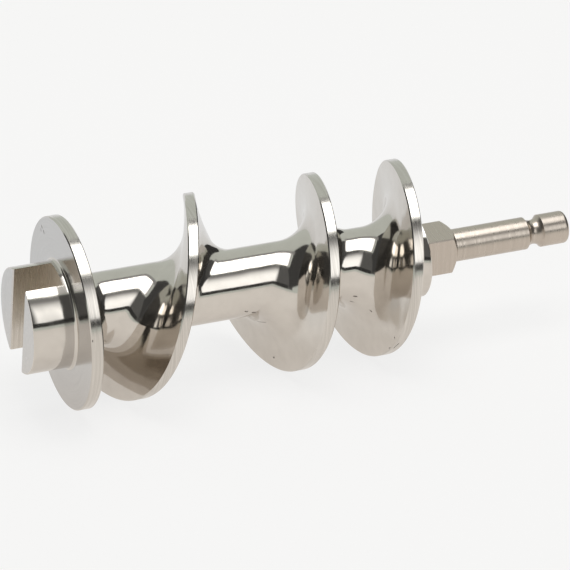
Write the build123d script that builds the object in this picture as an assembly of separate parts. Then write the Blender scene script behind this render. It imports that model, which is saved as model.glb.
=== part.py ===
from build123d import *
import math
import os

# Feed screw of a size 12 meat grinder, in millimetres. It lies on its rims with its axis along +X,
# the slotted drive end at the left and the pin that carries the knife and the hole plate at the right.

# Screw and rear disc
screw_diameter = 58.0
disc_thickness = 3.75
rim_edge_break = 0.3

# Drive boss
boss_diameter = 32.0
boss_length = 13.3
boss_root_bevel = 1.0
boss_edge_break = 0.4
slot_width = 11.0
slot_depth = 11.6
slot_turn = -11.7

# Flight: a left-hand helix with a long lead at the inlet and half of it at the outlet
inlet_lead = 53.2
outlet_lead = 26.7
rim_land = 3.4
core_diameter = 20.8
flank_draft = 4.0
front_root_fillet = 10.5
rear_root_fillet = 7.4
lead_change_at = 79.9
lead_change_turn = 184.0
lead_change_spread = 21.6
level_out_turn = 783.0
level_out_spread = 9.0
flight_end_turn = 846.0
flight_end_run = 34.0

# Hub behind the last turn
hub_diameter = 25.0
hub_end_at = 126.6
hub_root_fillet = 3.0
hub_edge_break = 0.3

# Knife pin
shank_diameter = 12.0
shank_length = 26.0
shank_clearance = 0.02
shank_end_chamfer = 0.8
bore_drill_point = 2.0
square_across_flats = 12.0
square_across_corners = 16.5
square_turn = -4.2
square_cone_start = 136.6
square_cone_end = 138.5
pin_diameter = 10.0
groove_centre = 165.0
groove_root_diameter = 7.3
groove_radius = 3.0
pin_end_at = 176.0
pin_end_rounding = 1.1

# How the helical channel is drawn
section_step = 30.0
sections_per_length = 6
channel_over = 2.0
channel_past_end = 6.0
channel_depth_per_width = 2.5
channel_start_width = 2.0
floor_share = 0.1
wall_join_softness = 0.25

screw_radius = screw_diameter / 2
core_radius = core_diameter / 2
hub_radius = hub_diameter / 2
pin_radius = pin_diameter / 2
disc_front = boss_length
disc_back = boss_length + disc_thickness
full_turn = 360.0
half_turn = full_turn / 2
quarter_turn = half_turn / 2
draft = math.radians(flank_draft)
axis_height = screw_radius
screw_axis = Axis((0, 0, axis_height), (1, 0, 0))


def soft_ramp(value, spread):
    """Zero below nought and the value itself above, with a smooth corner."""
    ratio = value / spread
    if ratio > full_turn:
        return value
    return spread * math.log1p(math.exp(ratio))


def rim_front(turn):
    """Place along the axis of the rim's front edge at a turn in degrees, nought being straight up."""
    change = turn - lead_change_turn
    slower = (outlet_lead - inlet_lead) * soft_ramp(change, lead_change_spread)
    level = -outlet_lead * soft_ramp(turn - level_out_turn, level_out_spread)
    return lead_change_at + (inlet_lead * change + slower + level) / full_turn


def ease(turn, start, run):
    """From nought to one over a run of degrees, level at both ends."""
    share = min(max((turn - start) / run, 0.0), 1.0)
    return (1 - math.cos(math.radians(share * half_turn))) / 2


def at(turn, place, radius):
    """Point in space at a place along the axis, a radius from it and a turn about it."""
    angle = math.radians(turn)
    return Vector(place, radius * math.sin(angle), axis_height + radius * math.cos(angle))


def channel_walls(turn):
    """Places along the axis of the channel's two walls, at the screw's outside."""
    behind = rim_front(turn - full_turn) + rim_land - disc_back
    front_wall = disc_back + soft_ramp(behind, wall_join_softness)
    opened = ease(turn, flight_end_turn, flight_end_run)
    past_end = hub_end_at + channel_past_end
    back_wall = rim_front(min(turn, flight_end_turn + flight_end_run))
    return front_wall, back_wall + (past_end - back_wall) * opened


def channel_section(turn):
    """Closed outline of the channel at one turn: flank, root fillet, core, root fillet, flank."""
    front_wall, back_wall = channel_walls(turn)
    width = back_wall - front_wall
    opened = ease(turn, flight_end_turn, flight_end_run)
    floor = core_radius + (hub_radius - core_radius) * opened
    floor = screw_radius - min(screw_radius - floor, channel_depth_per_width * width)
    behind_rim = rear_root_fillet + (hub_root_fillet - rear_root_fillet) * opened
    slack = width * (1 - floor_share) - 2 * (screw_radius - floor) * math.tan(draft)
    needed = (behind_rim + front_root_fillet) * (1 / math.cos(draft) - math.tan(draft))
    room = min(1.0, slack / needed)
    top = screw_radius + channel_over
    flare = channel_over * math.tan(draft)
    slope = (quarter_turn - flank_draft) / 2 + flank_draft
    lean = math.radians(slope)
    outline = []
    walls = ((front_wall, 1, behind_rim * room), (back_wall, -1, front_root_fillet * room))
    for wall, side, root in walls:
        centre_radius = floor + root
        inset = (screw_radius - centre_radius) * math.tan(draft) + root / math.cos(draft)
        centre = wall + side * inset
        lip = at(turn, wall - side * flare, top)
        start = at(turn, centre - side * root * math.cos(draft), centre_radius - root * math.sin(draft))
        middle = at(turn, centre - side * root * math.cos(lean), centre_radius - root * math.sin(lean))
        foot = at(turn, centre, floor)
        outline.append((lip, start, middle, foot))
    near, far = outline
    edges = [
        Edge.make_line(near[0], near[1]),
        Edge.make_three_point_arc(near[1], near[2], near[3]),
        Edge.make_line(near[3], far[3]),
        Edge.make_three_point_arc(far[3], far[2], far[1]),
        Edge.make_line(far[1], far[0]),
        Edge.make_line(far[0], near[0]),
    ]
    return Wire(edges)


def on_side(place, radius):
    """Point above the axis, in the plane that turned outlines are drawn in."""
    return Vector(place, 0, axis_height + radius)


def turned(points):
    """Solid turned on the screw's axis from an outline of places and radii."""
    outline = Polyline([on_side(place, radius) for place, radius in points], close=True)
    return revolve(make_face(outline), screw_axis)


# The channel starts where the flight's front edge is a little clear of the disc, and runs to where its
# front wall has passed the hub's end. It is drawn in half turns that share their end sections.
start_turn = lead_change_turn + (disc_back - lead_change_at) * full_turn / inlet_lead
start_turn = start_turn + channel_start_width * full_turn / inlet_lead
end_turn = start_turn
while channel_walls(end_turn)[0] < hub_end_at + rim_edge_break:
    end_turn = end_turn + section_step
count = math.ceil((end_turn - start_turn) / section_step)
turns = [start_turn + (end_turn - start_turn) * index / count for index in range(count + 1)]
channel = []
for first in range(0, count, sections_per_length):
    length = turns[first:first + sections_per_length + 1]
    channel.append(Solid.make_loft([channel_section(turn) for turn in length]))

# The body is turned in one: a boss with a bevel at its root, the disc and a plain barrel.
boss_radius = boss_diameter / 2
blank = turned([
    (0, 0),
    (0, boss_radius - boss_edge_break),
    (boss_edge_break, boss_radius),
    (disc_front - boss_root_bevel, boss_radius),
    (disc_front, boss_radius + boss_root_bevel),
    (disc_front, screw_radius - rim_edge_break),
    (disc_front + rim_edge_break, screw_radius),
    (hub_end_at, screw_radius),
    (hub_end_at, 0),
])
# The channel is cut from the barrel, which leaves the flight standing on the core.
auger_body = blank - channel

# A slot across the boss takes the drive shaft's tongue, and a bore in the hub takes the knife pin's shank.
slot_frame = Plane(origin=(slot_depth, 0, axis_height), x_dir=(0, 1, 0), z_dir=(-1, 0, 0))
slot_shape = slot_frame * Rot(0, 0, slot_turn) * Rectangle(slot_width, screw_diameter)
slot = extrude(slot_shape, slot_depth + channel_over)
bore_radius = shank_diameter / 2 + shank_clearance
bore_floor = hub_end_at - shank_length - shank_clearance
bore = turned([
    (bore_floor - bore_drill_point, 0),
    (bore_floor, bore_radius),
    (hub_end_at, bore_radius),
    (hub_end_at, 0),
])
auger_body = auger_body - slot
auger_body = auger_body - bore

# The knife pin: shank, square with a turned cone on its outer end, and round pin with its groove.
shank_radius = shank_diameter / 2
shank = turned([
    (hub_end_at - shank_length, 0),
    (hub_end_at - shank_length, shank_radius - shank_end_chamfer),
    (hub_end_at - shank_length + shank_end_chamfer, shank_radius),
    (hub_end_at, shank_radius),
    (hub_end_at, 0),
])
corner_radius = square_across_corners / 2
square_envelope = turned([
    (hub_end_at, 0),
    (hub_end_at, corner_radius),
    (square_cone_start, corner_radius),
    (square_cone_end, pin_radius),
    (square_cone_end, 0),
])
square_frame = Plane(origin=(hub_end_at, 0, axis_height), x_dir=(0, 1, 0), z_dir=(1, 0, 0))
square_shape = square_frame * Rot(0, 0, -square_turn) * Rectangle(square_across_flats, square_across_flats)
square = extrude(square_shape, square_cone_end - hub_end_at) & square_envelope
groove_root = groove_root_diameter / 2
groove_rise = (groove_root + groove_radius - pin_radius) / groove_radius
groove_run = math.sqrt(1 - groove_rise * groove_rise)
groove_start = groove_centre - groove_run * groove_radius
groove_finish = groove_centre + groove_run * groove_radius
round_start = pin_end_at - pin_end_rounding
round_corner = pin_end_rounding * (1 - math.sqrt(2) / 2)
end_radius = pin_radius - pin_end_rounding
pin_outline = [
    Polyline(on_side(square_cone_end, 0), on_side(square_cone_end, pin_radius), on_side(groove_start, pin_radius)),
    Spline(
        on_side(groove_start, pin_radius),
        on_side(groove_centre, groove_root),
        on_side(groove_finish, pin_radius),
        tangents=[(groove_rise, 0, -groove_run), (groove_rise, 0, groove_run)],
    ),
    Line(on_side(groove_finish, pin_radius), on_side(round_start, pin_radius)),
    Spline(
        on_side(round_start, pin_radius),
        on_side(pin_end_at - round_corner, pin_radius - round_corner),
        on_side(pin_end_at, end_radius),
        tangents=[(1, 0, 0), (0, 0, -1)],
    ),
    Polyline(on_side(pin_end_at, end_radius), on_side(pin_end_at, 0), on_side(square_cone_end, 0)),
]
pin = revolve(make_face(pin_outline), screw_axis)
knife_pin = shank + square + pin

# The origin is under the middle of the screw's length.
os.makedirs("parts", exist_ok=True)
to_middle = Pos(-pin_end_at / 2, 0, 0)
for name, shape in (("auger_body", to_middle * auger_body), ("knife_pin", to_middle * knife_pin)):
    solids = shape.solids()
    print(name, len(solids), "solid", round(shape.volume), "mm3", shape.bounding_box())
    export_step(shape, f"parts/{name}.step")
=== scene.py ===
# %% [markdown]
# # A meat grinder auger, modelled and polished
# The auger is the screw that pushes meat along the barrel of a grinder. A drive shaft turns it by the
# slotted boss on the left, and a steel pin on the right carries the knife. It lies here on its rims,
# with its axis along X. The CAD model gives the true size and place, so it is loaded first.

# %% Load the CAD frame
import math

import bpy
from mathutils import Matrix, Vector


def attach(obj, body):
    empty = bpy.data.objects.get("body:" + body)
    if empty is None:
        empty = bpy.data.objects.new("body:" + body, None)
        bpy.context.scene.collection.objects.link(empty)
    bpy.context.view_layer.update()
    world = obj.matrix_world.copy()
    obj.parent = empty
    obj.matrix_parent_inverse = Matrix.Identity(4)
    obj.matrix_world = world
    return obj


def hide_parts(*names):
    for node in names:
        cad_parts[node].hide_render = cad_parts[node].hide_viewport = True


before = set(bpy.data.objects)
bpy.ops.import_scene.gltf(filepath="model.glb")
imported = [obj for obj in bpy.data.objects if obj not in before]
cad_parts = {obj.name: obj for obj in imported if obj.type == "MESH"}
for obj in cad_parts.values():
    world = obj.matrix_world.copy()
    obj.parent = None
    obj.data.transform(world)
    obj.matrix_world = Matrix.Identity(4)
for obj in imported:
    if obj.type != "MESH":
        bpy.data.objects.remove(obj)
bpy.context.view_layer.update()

# %% [markdown]
# ## The sizes of the casting
# Sizes are in millimetres, measured along the axis from the front of the boss. A foundry drawing would
# list the same ones: the screw's radius, the disc, the boss, the core and the hub at the far end.

# %% Sizes of the casting
mm = 0.001
full = 360.0
middle = 88.0
axis_height = 29.0
screw_radius = 29.0
disc_front, disc_back = 13.3, 17.05
boss_radius = 16.0
core_radius = 10.4
hub_radius, hub_end = 12.5, 126.6
edge_round = 0.3
print("screw", 2 * screw_radius, "mm across,", hub_end, "mm long without its pin")

# %% [markdown]
# ## A flight whose pitch shortens
# The flight climbs fast at the inlet, to take in large pieces, and slowly at the outlet, to press them.
# A screw modifier has one pitch only, so the place of the rim is written as a function of the turn. It
# is a straight climb, bent by two soft corners: one where the pitch shortens, and one where the flight
# levels out against the hub.

# %% Place of the rim at each turn
inlet_lead, outlet_lead = 53.2, 26.7
rim_land = 3.4
change_at, change_turn, change_spread = 79.9, 184.0, 21.6
level_turn, level_spread = 783.0, 9.0
straight_past = 300


def soft_corner(value, spread):
    ratio = value / spread
    return value if ratio > straight_past else spread * math.log1p(math.exp(ratio))


def rim_front(turn):
    change = turn - change_turn
    slower = (outlet_lead - inlet_lead) * soft_corner(change, change_spread)
    level = -outlet_lead * soft_corner(turn - level_turn, level_spread)
    return change_at + (inlet_lead * change + slower + level) / full


print("rim at each whole turn", [round(rim_front(full * k), 1) for k in range(3)])

# %% [markdown]
# ## The channel between the flights
# What the meat runs along is the channel, so the channel is what gets drawn. Its left wall is the back of
# the flight one turn earlier, and its right wall is the front of the flight. Past the last turn the right
# wall moves off the end, and the channel runs out over the hub.

# %% Walls and depth of the channel
flight_end, flight_run = 846.0, 34.0
run_past = 6.0
wall_softness = 0.25
depth_per_width = 2.5


def opened(turn):
    share = min(max((turn - flight_end) / flight_run, 0.0), 1.0)
    return (1 - math.cos(share * math.pi)) / 2


def walls(turn):
    left = disc_back + soft_corner(rim_front(turn - full) + rim_land - disc_back, wall_softness)
    right = rim_front(min(turn, flight_end + flight_run))
    return left, right + (hub_end + run_past - right) * opened(turn)


def depth(turn):
    left, right = walls(turn)
    root = core_radius + (hub_radius - core_radius) * opened(turn)
    return max(min(screw_radius - root, depth_per_width * (right - left)), 0.0)


print("channel at the inlet", [round(v, 1) for v in walls(full)], "deep", round(depth(full), 1))

# %% [markdown]
# ## One section of the channel
# Cut the screw through its axis and the channel shows as a U: a wall with a little draft, a wide root
# fillet, the core, another fillet and the other wall. The fillets are what gives the real casting its
# flowing look, so each is a true arc. Where the rim is sharp, a narrow break is left for the light.

# %% Section of the channel
draft = math.radians(4.0)
tan_draft, cos_draft, sin_draft = math.tan(draft), math.cos(draft), math.sin(draft)
front_fillet, rear_fillet, hub_fillet = 10.5, 7.4, 3.0
rim_break = 0.32
clip = hub_end - edge_round
wall_points, arc_points, core_points, land_points = 8, 20, 8, 4
core_share, break_share = 0.9, 0.25


def left_break(turn):
    return max(min(rim_break, depth(turn) * break_share, (clip - walls(turn)[0]) / 2), 0.0)


def right_break(turn):
    right = walls(turn)[1]
    land = min(walls(turn + full)[0], clip) - right
    return max(min(rim_break, depth(turn) * break_share, land * break_share), 0.0)


def between(a, b, share):
    return (a[0] + (b[0] - a[0]) * share, a[1] + (b[1] - a[1]) * share)


def wall_and_fillet(wall, side, fillet, lip, root):
    middle_r = root + fillet
    middle_x = wall + side * ((screw_radius - middle_r) * tan_draft + fillet / cos_draft)
    top = (wall + side * lip * tan_draft, screw_radius - lip)
    foot = (middle_x - side * fillet * cos_draft, middle_r - fillet * sin_draft)
    line = [between(top, foot, k / wall_points) for k in range(wall_points)]
    for k in range(arc_points):
        angle = draft + (math.pi / 2 - draft) * k / (arc_points - 1)
        line.append((middle_x - side * fillet * math.cos(angle), middle_r - fillet * math.sin(angle)))
    return line


def channel_row(turn):
    left, right = walls(turn)
    if left >= clip:
        return [(clip, screw_radius)] * (2 * wall_points + 2 * arc_points + core_points)
    deep = depth(turn)
    root = screw_radius - deep
    behind = rear_fillet + (hub_fillet - rear_fillet) * opened(turn)
    slack = max((right - left) * core_share - 2 * deep * tan_draft, 0.0)
    room = min(1.0, slack / ((behind + front_fillet) * (1 / cos_draft - tan_draft)))
    first = wall_and_fillet(left, 1, behind * room, left_break(turn), root)
    last = wall_and_fillet(right, -1, front_fillet * room, right_break(turn), root)
    core = [between(first[-1], last[-1], (k + 1) / (core_points + 1)) for k in range(core_points)]
    row = first + core + last[::-1]
    for k, point in enumerate(row):
        if point[0] > clip:
            before = row[k - 1]
            cut = between(before, point, (clip - before[0]) / (point[0] - before[0]))
            return row[:k] + [cut] * (len(row) - k)
    return row


print("points in a section", len(channel_row(full)))

# %% [markdown]
# ## Sweeping the section round the axis
# By hand, a section would be drawn once and swept with a screw modifier. Here every section differs, so
# the rows of points are joined into a grid of quads instead, one row every two degrees. That gives clean
# long quads along the flight, and mirror polish shows every fault in a mesh.

# %% Sweep the channel
step = 2.0
per_turn = int(full / step)
start_turn = change_turn + (disc_back - change_at) * full / inlet_lead
verts, faces = [], []


def at(turn, place, radius):
    a = math.radians(turn)
    return ((place - middle) * mm, radius * math.sin(a) * mm, (axis_height + radius * math.cos(a)) * mm)


def grid(turns, rows):
    base, count = len(verts), len(rows[0])
    for turn, row in zip(turns, rows):
        verts.extend(at(turn, place, radius) for place, radius in row)
    for i in range(len(rows) - 1):
        for j in range(count - 1):
            a = base + i * count + j
            faces.append((a, a + 1, a + count + 1, a + count))


turns, rows = [start_turn], [channel_row(start_turn)]
while walls(turns[-1])[0] < clip:
    turns.append(turns[-1] + step)
    rows.append(channel_row(turns[-1]))
grid(turns, rows)
print("channel rows", len(rows), "over", round((turns[-1] - start_turn) / full, 2), "turns")

# %% [markdown]
# ## The rims
# The outside of the flight is a narrow land. Turning it on a lathe would make it run true in the barrel.
# It lies between the right wall of one turn and the left wall of the next, with its two edges broken.

# %% Sweep the rim
turns, rows, turn = [], [], start_turn
while walls(turn)[1] < clip:
    right, following = walls(turn)[1], walls(turn + full)[0]
    near = right_break(turn) if rows else 0.0
    far = left_break(turn + full)
    first = (right + near, screw_radius)
    last = (min(following, clip) - far, screw_radius)
    row = [(right - near * tan_draft, screw_radius - near)]
    row += [between(first, last, k / land_points) for k in range(land_points + 1)]
    tip = (following + far * tan_draft, screw_radius - far)
    row.append(tip if following < clip else (clip, screw_radius))
    turns.append(turn)
    rows.append(row)
    turn += step
turns.append(turn)
rows.append([(clip, screw_radius)] * len(rows[0]))
grid(turns, rows)
print("rim rows", len(rows))

# %% [markdown]
# ## The disc, the boss and the far end
# The disc closes the barrel at the drive end, and the boss stands on it with a small fillet at its root.
# Both are turned shapes, so one outline is carried right round. The disc's own rim grows into the first
# turn of the flight. The far end is a flat face, and the pin's square covers its middle.

# %% Turn the disc, the boss and the end
disc_points = 4
turns = [start_turn + k * step for k in range(per_turn + 1)]
rows = []
for turn in turns:
    left, lip = walls(turn)[0], left_break(turn)
    start = (disc_front + edge_round, screw_radius)
    stop = (left - lip, screw_radius)
    bend = (min(disc_back, stop[0]), screw_radius)
    row = [between(start, bend, k / disc_points) for k in range(disc_points + 1)]
    row += [between(bend, stop, (k + 1) / land_points) for k in range(land_points)]
    rows.append(row + [(left + lip * tan_draft, screw_radius - lip)])
grid(turns, rows)

boss_fillet, boss_break, boss_small_break = 1.0, 0.4, 0.12
disc_rings, face_rings = (26.0, 23.0, 20.0, 18.0), (12.0, 8.0, 4.0, 0.0)
boss_rings = (10.0, 7.0, 4.0, 2.0, boss_break)
arc_step, right_angle = 10, 90
quarter = [math.radians(arc_step * k) for k in range(right_angle // arc_step + 1)]
outline = [(disc_front + edge_round, screw_radius), (disc_front, screw_radius - edge_round)]
outline += [(disc_front, radius) for radius in disc_rings]
root_x, root_r = disc_front - boss_fillet, boss_radius + boss_fillet
outline += [(root_x + boss_fillet * math.cos(a), root_r - boss_fillet * math.sin(a)) for a in quarter]
outline += [(place, boss_radius) for place in boss_rings]
outline += [(boss_small_break, boss_radius - boss_small_break), (0.0, boss_radius - boss_break)]
outline += [(0.0, radius) for radius in face_rings]
grid(turns, [outline] * len(turns))

pin_radius = 5.0
ring_points, turns_searched = 4, 6
rows = []
for k in range(per_turn + 1):
    angle = start_turn + (k % per_turn) * step
    passes = [angle + full * j for j in range(turns_searched)]
    last_turn = max(turn for turn in passes if walls(turn)[0] < clip)
    edge = channel_row(last_turn)[-1]
    outer = edge[1] if abs(edge[0] - clip) < mm else screw_radius
    rim_end, pin_edge = (hub_end, outer - edge_round), (hub_end, pin_radius)
    ring = [between(rim_end, pin_edge, j / ring_points) for j in range(ring_points + 1)]
    rows.append([(clip, outer)] + ring + [(hub_end, 0.0)])
grid(turns, rows)
print("points", len(verts), "quads", len(faces))

# %% [markdown]
# ## One closed casting
# The grids share their edges, so merging doubles joins them into one shell. The tip where the flight runs
# out leaves one small hole, which is filled. Every edge should then have two faces, and the count shows it.

# %% Join the casting
def pick(piece):
    bpy.ops.object.select_all(action="DESELECT")
    piece.select_set(True)
    bpy.context.view_layer.objects.active = piece


merge_distance, sliver_length, tip_sides = 2e-6, 1e-6, 8
mesh = bpy.data.meshes.new("auger_body_polished")
mesh.from_pydata(verts, [], faces)
body = bpy.data.objects.new("auger_body_polished", mesh)
bpy.context.scene.collection.objects.link(body)
pick(body)
bpy.ops.object.mode_set(mode="EDIT")
bpy.ops.mesh.select_all(action="SELECT")
bpy.ops.mesh.remove_doubles(threshold=merge_distance)
bpy.ops.mesh.dissolve_degenerate(threshold=sliver_length)
bpy.ops.mesh.select_all(action="SELECT")
bpy.ops.mesh.fill_holes(sides=tip_sides)
bpy.ops.mesh.select_all(action="SELECT")
bpy.ops.mesh.normals_make_consistent(inside=False)
bpy.ops.object.mode_set(mode="OBJECT")


def open_edges(shape):
    uses = {}
    for polygon in shape.polygons:
        for key in polygon.edge_keys:
            uses[key] = uses.get(key, 0) + 1
    return sum(1 for count in uses.values() if count != 2)


print("casting", len(mesh.polygons), "faces, open edges", open_edges(mesh))

# %% [markdown]
# ## The drive slot
# A milling cutter can cut the slot across the boss, which leaves two prongs for the drive shaft. A cube is
# the cutter here. Its front face is extruded forwards and widened, so that the boolean breaks the two long
# edges of the slot in the same cut, as a file would on the bench.

# %% Mill the slot
slot_width, slot_depth, slot_break, slot_over = 11.0, 11.6, 0.35, 1.0
slot_angle = math.radians(11.7)
facing_forward = -0.9
axis_point = ((slot_depth - middle) * mm, 0, axis_height * mm)
bpy.ops.object.select_all(action="DESELECT")
cut_length = slot_depth - slot_break
cut_middle = slot_break + cut_length / 2
bpy.ops.mesh.primitive_cube_add(size=1, location=((cut_middle - middle) * mm, 0, axis_height * mm))
cutter = bpy.context.object
cutter.scale = (cut_length * mm, slot_width * mm, 2 * screw_radius * mm)
bpy.ops.object.transform_apply(location=True, rotation=True, scale=True)
bpy.ops.object.mode_set(mode="EDIT")
bpy.ops.mesh.select_mode(type="FACE")
bpy.ops.mesh.select_all(action="DESELECT")
bpy.ops.object.mode_set(mode="OBJECT")
for polygon in cutter.data.polygons:
    polygon.select = polygon.normal.x < facing_forward
bpy.ops.object.mode_set(mode="EDIT")
forward = -(slot_break + slot_over) * mm
bpy.ops.mesh.extrude_region_move(TRANSFORM_OT_translate={"value": (forward, 0, 0)})
wider = 1 + 2 * (slot_break + slot_over) / slot_width
bpy.ops.transform.resize(value=(1, wider, 1), center_override=axis_point)
bpy.ops.mesh.select_all(action="SELECT")
bpy.ops.mesh.normals_make_consistent(inside=False)
bpy.ops.object.mode_set(mode="OBJECT")
turn_slot = Matrix.Translation(axis_point) @ Matrix.Rotation(slot_angle, 4, "X")
cutter.data.transform(turn_slot @ Matrix.Translation(axis_point).inverted())


def combine(target, tool, kind):
    pick(target)
    change = target.modifiers.new("combine", "BOOLEAN")
    change.operation, change.solver, change.object = kind, "EXACT", tool
    bpy.ops.object.modifier_apply(modifier="combine")
    bpy.data.objects.remove(tool)


combine(body, cutter, "DIFFERENCE")
print("slotted casting", len(body.data.polygons), "faces, open edges", open_edges(body.data))

# %% [markdown]
# ## Turning the pin
# The pin is a bar that a lathe can turn, with a round groove near its end, and a rounded tip. A circle is
# extruded along the axis and resized at each step, which is turning done by hand.

# %% Turn the pin
def turned(name, points, segments=96):
    bpy.ops.object.select_all(action="DESELECT")
    place, radius = points[0]
    bpy.ops.mesh.primitive_circle_add(
        vertices=segments, radius=radius * mm, fill_type="NGON",
        location=((place - middle) * mm, 0, axis_height * mm), rotation=(0, math.pi / 2, 0),
    )
    piece = bpy.context.object
    piece.name = name
    bpy.ops.object.transform_apply(location=True, rotation=True, scale=True)
    bpy.ops.object.mode_set(mode="EDIT")
    bpy.ops.mesh.select_all(action="SELECT")
    for next_place, next_radius in points[1:]:
        move = ((next_place - place) * mm, 0, 0)
        bpy.ops.mesh.extrude_region_move(TRANSFORM_OT_translate={"value": move})
        share = next_radius / radius
        centre = ((next_place - middle) * mm, 0, axis_height * mm)
        bpy.ops.transform.resize(value=(1, share, share), center_override=centre)
        place, radius = next_place, next_radius
    bpy.ops.mesh.select_all(action="SELECT")
    bpy.ops.mesh.normals_make_consistent(inside=False)
    bpy.ops.object.mode_set(mode="OBJECT")
    return piece


pin_sunk, pin_end, end_round = 3, 176.0, 1.1
pin_start = hub_end + pin_sunk
shaft_rings, head_rings = (150.0, 155.0, 160.0), (170.0, 172.5)
groove_at, groove_radius, groove_root = 165.0, 3.0, 3.65
groove_steps, end_steps = 12, 8
groove_half = math.acos((groove_root + groove_radius - pin_radius) / groove_radius)
profile = [(place, pin_radius) for place in (pin_start, *shaft_rings)]
for k in range(groove_steps + 1):
    a = groove_half * (2 * k / groove_steps - 1)
    lift = groove_root + groove_radius - groove_radius * math.cos(a)
    profile.append((groove_at + groove_radius * math.sin(a), lift))
profile += [(place, pin_radius) for place in head_rings]
for k in range(end_steps + 1):
    a = math.pi / 2 * k / end_steps
    inner = pin_radius - end_round
    profile.append((pin_end - end_round + end_round * math.sin(a), inner + end_round * math.cos(a)))
pin = turned("knife_pin_turned", profile)
print("pin", len(pin.data.polygons), "faces")

# %% [markdown]
# ## The square that drives the knife
# Behind the pin is a square. It was milled from round bar, so its corners keep the bar's curve, and a cone
# leads from it down to the pin. The square is the part that a cube and a turned bar have in common, and a
# boolean says just that. A second boolean makes it one piece with the pin.

# %% Mill the square
square_side, square_turn = 12.0, math.radians(4.2)
bar_radius, cone_start, cone_end = 8.25, 136.6, 138.5
smooth_below = math.radians(28)
bar = turned("square_bar", [(hub_end, bar_radius), (cone_start, bar_radius), (cone_end, pin_radius)])
bpy.ops.object.select_all(action="DESELECT")
square_at = hub_end + square_side / 2
bpy.ops.mesh.primitive_cube_add(
    size=square_side * mm,
    location=((square_at - middle) * mm, 0, axis_height * mm),
    rotation=(square_turn, 0, 0),
)
square = bpy.context.object
bpy.ops.object.transform_apply(location=True, rotation=True, scale=True)
combine(square, bar, "INTERSECT")
combine(pin, square, "UNION")
for piece in (body, pin):
    pick(piece)
    bpy.ops.object.shade_smooth_by_angle(angle=smooth_below)
    even = piece.modifiers.new("even_shading", "WEIGHTED_NORMAL")
    even.keep_sharp = True
    bpy.ops.object.modifier_apply(modifier="even_shading")
print("pin with its square", len(pin.data.polygons), "faces, open edges", open_edges(pin.data))

# %% [markdown]
# ## Building blocks for the finishes
# All of the auger is bare steel, so what tells its faces apart is how each was finished. Three effects come
# back on several faces, and each is a node group, built once. A short helper adds a node, sets its values
# and links what it is given.

# %% Helpers for nodes
def add(tree, kind, inputs=None, **settings):
    made = tree.nodes.new("ShaderNode" + kind)
    for name, value in settings.items():
        setattr(made, name, value)
    for name, value in (inputs or {}).items():
        if isinstance(value, bpy.types.NodeSocket):
            tree.links.new(value, made.inputs[name])
        else:
            made.inputs[name].default_value = value
    return made


def effect(name, inputs, outputs):
    tree = bpy.data.node_groups.new(name, "ShaderNodeTree")
    for label, kind in inputs:
        tree.interface.new_socket(label, in_out="INPUT", socket_type="NodeSocket" + kind)
    for label in outputs:
        tree.interface.new_socket(label, in_out="OUTPUT", socket_type="NodeSocketFloat")
    return tree, tree.nodes.new("NodeGroupInput").outputs, tree.nodes.new("NodeGroupOutput").inputs


# %% [markdown]
# ### Tool lines
# A lathe or a milling cutter leaves fine lines, side by side. A noise squeezed hard in one direction, and
# slow in the others, gives lines of uneven strength that fade and come back, as real ones do.

# %% Tool lines
slow = 45.0
lines, given, out = effect("tool_lines", [("Across", "Float"), ("Spacing", "Float")], ["Height"])
where = add(lines, "TexCoord")
split = add(lines, "SeparateXYZ", {0: where.outputs["Object"]})
count = add(lines, "Math", {0: given["Across"], 1: given["Spacing"]}, operation="DIVIDE")
slow_y = add(lines, "Math", {0: split.outputs["Y"], 1: slow}, operation="MULTIPLY")
slow_z = add(lines, "Math", {0: split.outputs["Z"], 1: slow}, operation="MULTIPLY")
along = add(lines, "CombineXYZ", {0: count.outputs[0], 1: slow_y.outputs[0], 2: slow_z.outputs[0]})
noise = add(lines, "TexNoise", {"Vector": along.outputs[0], "Scale": 1.0, "Detail": 3.0, "Roughness": 0.65})
lines.links.new(noise.outputs["Fac"], out["Height"])
print("effect", lines.name, len(lines.nodes), "nodes")

# %% [markdown]
# ### Hand polish
# A casting is polished on a wheel by hand. The shine is a mirror, but never quite true: it waves a little,
# and some patches stay hazier than others. Two noises give the wave and the haze.

# %% Hand polish
haze_per_wave = 2.7
polish, given, out = effect("hand_polish", [("Wave size", "Float")], ["Wave", "Haze"])
where = add(polish, "TexCoord")
often = add(polish, "Math", {0: 1.0, 1: given["Wave size"]}, operation="DIVIDE")
wave = add(polish, "TexNoise", {"Vector": where.outputs["Object"], "Scale": often.outputs[0], "Detail": 1.0})
closer = add(polish, "Math", {0: often.outputs[0], 1: haze_per_wave}, operation="MULTIPLY")
haze = add(polish, "TexNoise", {"Vector": where.outputs["Object"], "Scale": closer.outputs[0], "Detail": 4.0})
polish.links.new(wave.outputs["Fac"], out["Wave"])
polish.links.new(haze.outputs["Fac"], out["Haze"])
print("effect", polish.name, len(polish.nodes), "nodes")

# %% [markdown]
# ### Marks of casting and use
# The real auger has a few pits that the polish didn't reach, and some scratches. Each is a short stroke
# between two points, with a ragged edge. The group measures how far the surface lies from that stroke.

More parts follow.
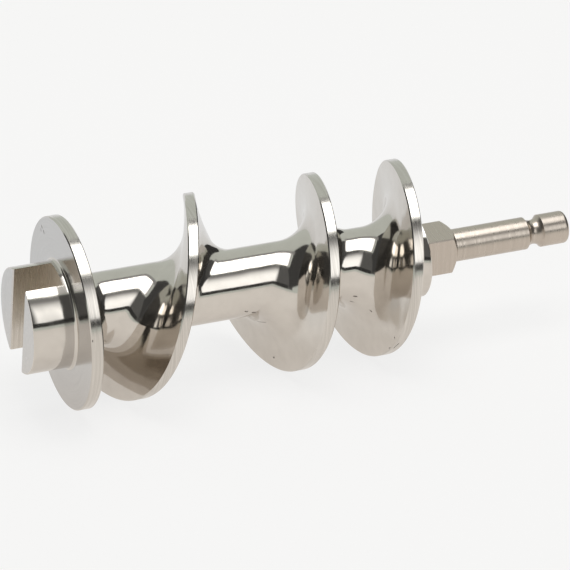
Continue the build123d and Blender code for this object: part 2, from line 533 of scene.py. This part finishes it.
# %% Marks
mark, given, out = effect("mark", [("From", "Vector"), ("To", "Vector"), ("Width", "Float")], ["Mask"])
where = add(mark, "TexCoord").outputs["Object"]
run = add(mark, "VectorMath", {0: given["To"], 1: given["From"]}, operation="SUBTRACT").outputs[0]
off = add(mark, "VectorMath", {0: where, 1: given["From"]}, operation="SUBTRACT").outputs[0]
dot = add(mark, "VectorMath", {0: off, 1: run}, operation="DOT_PRODUCT").outputs["Value"]
square_length = add(mark, "VectorMath", {0: run, 1: run}, operation="DOT_PRODUCT").outputs["Value"]
share = add(mark, "Math", {0: dot, 1: square_length}, operation="DIVIDE", use_clamp=True).outputs[0]
on_run = add(mark, "VectorMath", {0: run, "Scale": share}, operation="SCALE").outputs[0]
gap = add(mark, "VectorMath", {0: off, 1: on_run}, operation="SUBTRACT").outputs[0]
gap = add(mark, "VectorMath", {0: gap}, operation="LENGTH").outputs["Value"]
gap = add(mark, "Math", {0: gap, 1: given["Width"]}, operation="DIVIDE").outputs[0]
rag = add(mark, "TexNoise", {"Vector": where, "Scale": 2600.0, "Detail": 2.0}).outputs["Fac"]
ragged = add(mark, "Math", {0: gap, 1: rag}, operation="ADD").outputs[0]
edge = {"Value": ragged, "From Min": 0.7, "From Max": 1.4, "To Min": 1.0, "To Max": 0.0}
mask = add(mark, "MapRange", edge)
mark.links.new(mask.outputs[0], out["Mask"])
print("effect", mark.name, len(mark.nodes), "nodes")

# %% [markdown]
# ## Steel, finished six ways
# One function makes each finish. It adds up the heights of the lines, the wave and the marks, in metres,
# and a Bump node turns them into the normal. The tone of the lines or the haze also moves the colour and the
# roughness a little, because a line that stands proud catches light and a hazy patch blurs it.

# %% The finish of a steel face
mark_colour, mark_blur = (0.22, 0.20, 0.18, 1), 0.35


def finish(name, bright, dull, smooth, rough, across=None, spacing=1.0, line_depth=0.0,
           wave_size=0.01, wave_depth=0.0, marks=(), mark_depth=0.00015):
    steel = bpy.data.materials.new(name)
    steel.use_nodes = True
    tree = steel.node_tree
    shader = tree.nodes["Principled BSDF"]
    shader.inputs["Metallic"].default_value = 1.0
    hand = add(tree, "Group", node_tree=polish)
    hand.inputs["Wave size"].default_value = wave_size
    height = add(tree, "Math", {0: hand.outputs["Wave"], 1: wave_depth}, operation="MULTIPLY").outputs[0]
    tone = hand.outputs["Haze"]
    if across:
        place = add(tree, "TexCoord").outputs["Object"]
        if across == "radius":
            axis = (0, 0, axis_height * mm)
            place = add(tree, "VectorMath", {0: place, 1: axis}, operation="SUBTRACT").outputs[0]
            place = add(tree, "VectorMath", {0: place, 1: (0, 1, 1)}, operation="MULTIPLY").outputs[0]
            place = add(tree, "VectorMath", {0: place}, operation="LENGTH").outputs["Value"]
        else:
            place = add(tree, "SeparateXYZ", {0: place}).outputs["X"]
        tool = add(tree, "Group", node_tree=lines)
        tree.links.new(place, tool.inputs["Across"])
        tool.inputs["Spacing"].default_value = spacing * mm
        tone = tool.outputs["Height"]
        raised = add(tree, "Math", {0: tone, 1: line_depth}, operation="MULTIPLY").outputs[0]
        height = add(tree, "Math", {0: height, 1: raised}, operation="ADD").outputs[0]
    tone = add(tree, "MapRange", {"Value": tone, "From Min": 0.3, "From Max": 0.7}).outputs[0]
    colour = add(tree, "Mix", {"Factor": tone, 6: (*bright, 1), 7: (*dull, 1)}, data_type="RGBA").outputs[2]
    blur = add(tree, "MapRange", {"Value": tone, "To Min": smooth, "To Max": rough}).outputs[0]
    worn = None
    for start, stop, width in marks:
        one = add(tree, "Group", node_tree=mark)
        one.inputs["From"].default_value = [c * mm for c in start]
        one.inputs["To"].default_value = [c * mm for c in stop]
        one.inputs["Width"].default_value = width * mm
        one = one.outputs["Mask"]
        worn = add(tree, "Math", {0: worn, 1: one}, operation="MAXIMUM").outputs[0] if worn else one
    if worn:
        dark = {"Factor": worn, 6: colour, 7: mark_colour}
        colour = add(tree, "Mix", dark, data_type="RGBA").outputs[2]
        blur = add(tree, "Math", {0: worn, 1: mark_blur, 2: blur}, operation="MULTIPLY_ADD").outputs[0]
        height = add(tree, "Math", {0: worn, 1: -mark_depth, 2: height}, operation="MULTIPLY_ADD").outputs[0]
    bump = add(tree, "Bump", {"Height": height, "Distance": 1.0})
    tree.links.new(colour, shader.inputs["Base Color"])
    tree.links.new(blur, shader.inputs["Roughness"])
    tree.links.new(bump.outputs[0], shader.inputs["Normal"])
    return steel


# %% [markdown]
# ### Where the marks are
# Each mark is a pair of points on the metal and a width, all in millimetres. They sit where the photograph
# shows them: casting pits below the core, a few streaks in the root of the last flight, scratches near its
# rim, three pits high on the disc and a nick on the disc's rim.

# %% Places of the marks
flight_marks = [
    ((-19.9, -9.05, 23.9), (-19.2, -8.9, 23.6), 0.40),
    ((-17.2, -8.3, 22.7), (-16.4, -8.0, 22.4), 0.45),
    ((-12.9, -0.2, 14.9), (-11.6, -4.2, 16.3), 0.22),
    ((-8.95, -3.8, 3.8), (-8.9, -4.1, 3.9), 0.40),
    ((15.1, -9.0, 22.5), (15.6, -9.2, 22.5), 0.50),
    ((14.7, -7.0, 19.9), (19.8, -11.2, 17.6), 0.30),
    ((22.4, -23.0, 14.0), (22.9, -23.7, 13.2), 0.28),
    ((21.7, -20.8, 9.4), (21.9, -21.6, 9.9), 0.40),
    ((22.3, -21.2, 9.3), (23.2, -23.2, 11.8), 0.28),
]
disc_marks = [
    ((-74.7, 15.8, 50.6), (-74.7, 15.2, 50.2), 0.35),
    ((-74.7, 14.0, 49.8), (-74.7, 13.6, 49.3), 0.45),
    ((-74.7, 16.6, 49.2), (-74.7, 16.3, 48.6), 0.25),
]
rim_marks = [
    ((-74.3, -28.6, 33.9), (-74.3, -28.7, 33.5), 0.22),
    ((25.7, -24.4, 13.4), (25.9, -24.2, 13.1), 0.35),
    ((22.8, -21.6, 9.7), (23.6, -23.4, 12.0), 0.28),
]
print("marks", len(flight_marks), len(disc_marks), len(rim_marks))

# %% [markdown]
# ### The finishes
# The flights, the core and the boss are mirror polished. The rims and the disc carry fine lines round the
# axis, as a lathe leaves them. The prong ends and the far end are plain satin, the slot shows its milling,
# and the pin is a duller, warmer steel than the casting.

# %% Make the finishes
body_polish = finish(
    "body_polish", (0.70, 0.665, 0.62), (0.66, 0.625, 0.58), 0.07, 0.13,
    wave_size=0.011, wave_depth=1.8e-4, marks=flight_marks,
)
rim_turned = finish(
    "rim_turned", (0.72, 0.69, 0.65), (0.60, 0.57, 0.53), 0.11, 0.22,
    across="length", spacing=0.45, line_depth=8.0e-6, wave_size=0.012, wave_depth=1.5e-5, marks=rim_marks,
)
disc_turned = finish(
    "disc_turned", (0.61, 0.60, 0.59), (0.57, 0.56, 0.55), 0.13, 0.20,
    across="radius", spacing=0.6, line_depth=5.0e-6, wave_size=0.014, wave_depth=2.0e-5, marks=disc_marks,
)
prong_satin = finish(
    "prong_satin", (0.68, 0.67, 0.66), (0.655, 0.645, 0.635), 0.27, 0.33, wave_size=0.003, wave_depth=3.0e-6,
)
slot_milled = finish(
    "slot_milled", (0.80, 0.76, 0.70), (0.69, 0.645, 0.58), 0.22, 0.34,
    across="length", spacing=0.7, line_depth=1.0e-5, wave_size=0.004, wave_depth=4.0e-6,
)
pin_satin = finish(
    "pin_satin", (0.60, 0.54, 0.48), (0.56, 0.50, 0.44), 0.25, 0.34,
    across="length", spacing=0.6, line_depth=2.5e-6, wave_size=0.006, wave_depth=1.5e-5,
)
casting_finishes = (body_polish, rim_turned, disc_turned, prong_satin, slot_milled)
print("finishes", [steel.name for steel in (*casting_finishes, pin_satin)])

# %% [markdown]
# ## Which face gets which finish
# Each face of the casting takes its finish from where it lies: on the rim, on the front of the disc, on one
# of the two flat ends, in the slot, or else on the polished rest. The place of a face's middle tells.

# %% Give the faces their finish
body.data.materials.clear()
for steel in casting_finishes:
    body.data.materials.append(steel)
tallies = [0] * len(casting_finishes)
on_rest, on_rim, on_disc, on_end, in_slot = range(len(casting_finishes))
near_plane, near_rim, past_root, past_slot = 0.06, 0.3, 0.9, 0.15
for polygon in body.data.polygons:
    spot = polygon.center / mm
    place, up = spot.x + middle, spot.z - axis_height
    radius = math.hypot(spot.y, up)
    sideways = abs(spot.y * math.cos(slot_angle) + up * math.sin(slot_angle))
    if place < near_plane or place > hub_end - near_plane:
        kind = on_end
    elif place < slot_depth + near_plane and sideways < slot_width / 2 + past_slot and radius < boss_radius:
        kind = in_slot
    elif radius > screw_radius - near_rim:
        kind = on_rim
    elif abs(place - disc_front) < near_plane and radius > boss_radius + past_root:
        kind = on_disc
    else:
        kind = on_rest
    polygon.material_index = kind
    tallies[kind] += 1
pin.data.materials.clear()
pin.data.materials.append(pin_satin)
print("faces polished, rim, disc, ends, slot", tallies)

# %% [markdown]
# ## Riding on the part
# The auger has no joints, so both pieces ride on its one body. Each stands for its CAD node, which is hidden.

# %% Ride on the part
for piece, node, slot in ((body, "auger_body", "body_polish"), (pin, "knife_pin", "pin_satin")):
    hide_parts(node)
    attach(piece, "root")
print("pieces", body.name, pin.name)

# %% [markdown]
# ## The floor
# The floor is a plain pale sheet. A share of white glow is mixed in for what the camera sees directly, so the
# background comes out near white without more light on the metal, and a soft shadow stays. What the metal
# mirrors gets a smaller share of glow, a painted reflection that lightens the shadow there, and it is painted
# warm in front of the auger and cooler behind it as light falling there, after the photograph's tones.

# %% Lay the floor
floor_size = 12
camera_share, mirror_share = 0.8, 0.65
warm_painted_glow, cool_painted_glow, painted_tone_run = (1.0, 0.95, 0.90, 1), (0.89, 0.90, 0.92, 1), 0.08
bpy.ops.object.select_all(action="DESELECT")
bpy.ops.mesh.primitive_plane_add(size=floor_size, location=(0, 0, 0))
floor = bpy.context.object
floor.name = "floor"
sheet = bpy.data.materials.new("floor_sheet")
sheet.use_nodes = True
tree = sheet.node_tree
shader = tree.nodes["Principled BSDF"]
shader.inputs["Base Color"].default_value = (0.86, 0.84, 0.81, 1)
shader.inputs["Roughness"].default_value = 0.9
shader.inputs["Specular IOR Level"].default_value = 0.1
path = add(tree, "LightPath")
# The floor glows in what the metal mirrors: a painted reflection that lightens the floor's shadow there.
glossy = {0: path.outputs["Is Glossy Ray"], 1: mirror_share}
mirrored = add(tree, "Math", glossy, operation="MULTIPLY").outputs[0]
direct = {0: path.outputs["Is Camera Ray"], 1: camera_share, 2: mirrored}
seen = add(tree, "Math", direct, operation="MULTIPLY_ADD")
# Painted light: the mirrored glow turns from warm in front of the auger to cool behind it, though the floor
# is one colour.
across_floor = add(tree, "SeparateXYZ", {0: add(tree, "TexCoord").outputs["Object"]}).outputs["Y"]
cooler = add(tree, "MapRange", {"Value": across_floor, "From Min": 0.0, "From Max": painted_tone_run}).outputs[0]
tones = {"Factor": cooler, 6: warm_painted_glow, 7: cool_painted_glow}
floor_glow_tint = add(tree, "Mix", tones, data_type="RGBA").outputs[2]
tones = {"Factor": path.outputs["Is Camera Ray"], 6: floor_glow_tint, 7: (1, 1, 1, 1)}
floor_glow_tint = add(tree, "Mix", tones, data_type="RGBA").outputs[2]
white = add(tree, "Emission", {"Color": floor_glow_tint})
lit = add(tree, "MixShader", {0: seen.outputs[0], 1: shader.outputs[0], 2: white.outputs[0]})
tree.links.new(lit.outputs[0], tree.nodes["Material Output"].inputs["Surface"])
floor.data.materials.append(sheet)
print("floor", floor.name)

# %% [markdown]
# ## The studio
# Polished steel shows only what stands round it, so the light is a set of large cards. A bright box hangs
# overhead, a tall light in front fades towards its top, a dark strip lies below it, and dark cards stand at
# both ends of the auger. The cards are hidden from the camera, but the metal mirrors them.

# %% Hang the cards
lamp_white, card_edge = (1, 1, 0.985, 1), (0.05, 0.05, 0.05, 1)


def card(name, corners, strength, fade=None, soft=None):
    glow = bpy.data.materials.new(name)
    glow.use_nodes = True
    tree = glow.node_tree
    tree.nodes.clear()
    light = add(tree, "Emission", {"Color": lamp_white, "Strength": strength})
    if fade:
        height = add(tree, "SeparateXYZ", {0: add(tree, "TexCoord").outputs["Object"]}).outputs["Z"]
        low, high, top = fade
        falls = {"Value": height, "From Min": low, "From Max": high, "To Min": strength, "To Max": top}
        falling = add(tree, "MapRange", falls, interpolation_type="SMOOTHSTEP")
        tree.links.new(falling.outputs[0], light.inputs["Strength"])
    if soft:
        sideways = add(tree, "SeparateXYZ", {0: add(tree, "TexCoord").outputs["Object"]}).outputs["X"]
        first, last = corners[0][0], corners[1][0]
        rises = {"Value": sideways, "From Min": first, "From Max": first + soft}
        drops = {"Value": sideways, "From Min": last, "From Max": last - soft}
        rising = add(tree, "MapRange", rises, interpolation_type="SMOOTHSTEP").outputs[0]
        dropping = add(tree, "MapRange", drops, interpolation_type="SMOOTHSTEP").outputs[0]
        both = add(tree, "Math", {0: rising, 1: dropping}, operation="MULTIPLY").outputs[0]
        tones = {"Factor": both, 6: card_edge, 7: lamp_white}
        edged = add(tree, "Mix", tones, data_type="RGBA")
        tree.links.new(edged.outputs[2], light.inputs["Color"])
    add(tree, "OutputMaterial", {"Surface": light.outputs[0]})
    sheet = bpy.data.meshes.new(name)
    sheet.from_pydata(corners, [], [(0, 1, 2, 3)])
    hung = bpy.data.objects.new(name, sheet)
    bpy.context.scene.collection.objects.link(hung)
    hung.data.materials.append(glow)
    hung.visible_camera = False


def overhead(z, y0, y1, x0, x1):
    return [(x0, y0, z), (x1, y0, z), (x1, y1, z), (x0, y1, z)]


def facing(y, z0, z1, x0, x1):
    return [(x0, y, z0), (x1, y, z0), (x1, y, z1), (x0, y, z1)]


def endways(x, z0, z1, y0, y1):
    return [(x, y0, z0), (x, y1, z0), (x, y1, z1), (x, y0, z1)]


card("softbox_top", overhead(0.90, -0.33, 0.30, -0.37, 0.54), 3.2, soft=0.16)
card("softbox_frame", overhead(0.905, 0.28, 0.46, -0.5, 0.6), 0.3)
card("top_right", overhead(0.91, -0.70, 0.30, 0.46, 2.4), 0.08)
card("front_light", facing(-1.8, 0.50, 4.2, 0.15, 1.6), 1.5, (1.1, 3.2, 0.25), soft=0.4)
card("front_left", facing(-1.82, 0.22, 4.2, -2.2, 0.20), 0.12)
card("front_right", facing(-1.82, 0.22, 4.2, 1.55, 4.0), 0.06)
card("front_strip", facing(-1.79, 0.20, 0.52, -1.2, 2.6), 0.04)
card("right_end", endways(1.30, 0.0, 0.90, -1.7, 2.2), 0.04)
card("left_end", endways(-1.30, 0.30, 2.6, -1.7, 1.5), 0.06)
print("cards hung")

# %% [markdown]
# ## The room
# The room itself is a grey, faintly green wall that fills in behind the auger, and white where the camera
# would look past the floor.

# %% Light the room
wall_colour = (0.60, 0.63, 0.59, 1)
room = bpy.data.worlds.new("studio")
bpy.context.scene.world = room
room.use_nodes = True
tree = room.node_tree
wall = tree.nodes["Background"]
wall.inputs["Color"].default_value = wall_colour
plain = add(tree, "Background", {"Color": (1, 1, 1, 1)})
path = add(tree, "LightPath")
shown = {0: path.outputs["Is Camera Ray"], 1: wall.outputs[0], 2: plain.outputs[0]}
mixed = add(tree, "MixShader", shown)
tree.links.new(mixed.outputs[0], tree.nodes["World Output"].inputs["Surface"])
print("room", room.name)

# %% [markdown]
# ## The camera
# The camera stands where a fit to the photograph's outlines puts it. It has a long lens, as in product
# photographs, so that the near disc isn't drawn much larger than the far turns.

# %% Place the camera
camera_place, camera_forward = (-0.39675, -1.00761, 0.56936), (0.32352, 0.83388, -0.44719)
focal_length, sensor_width = 254.7, 36
picture_shift = (0.01125, -0.01628)
lens = bpy.data.cameras.new("camera")
camera = bpy.data.objects.new("camera", lens)
bpy.context.scene.collection.objects.link(camera)
camera.location = camera_place
camera.rotation_mode = "QUATERNION"
camera.rotation_quaternion = Vector(camera_forward).to_track_quat("-Z", "Y")
lens.lens, lens.sensor_width = focal_length, sensor_width
lens.shift_x, lens.shift_y = picture_shift
bpy.context.scene.camera = camera
bpy.context.scene.view_settings.view_transform = "Standard"
print("camera", [round(v, 3) for v in camera.location])
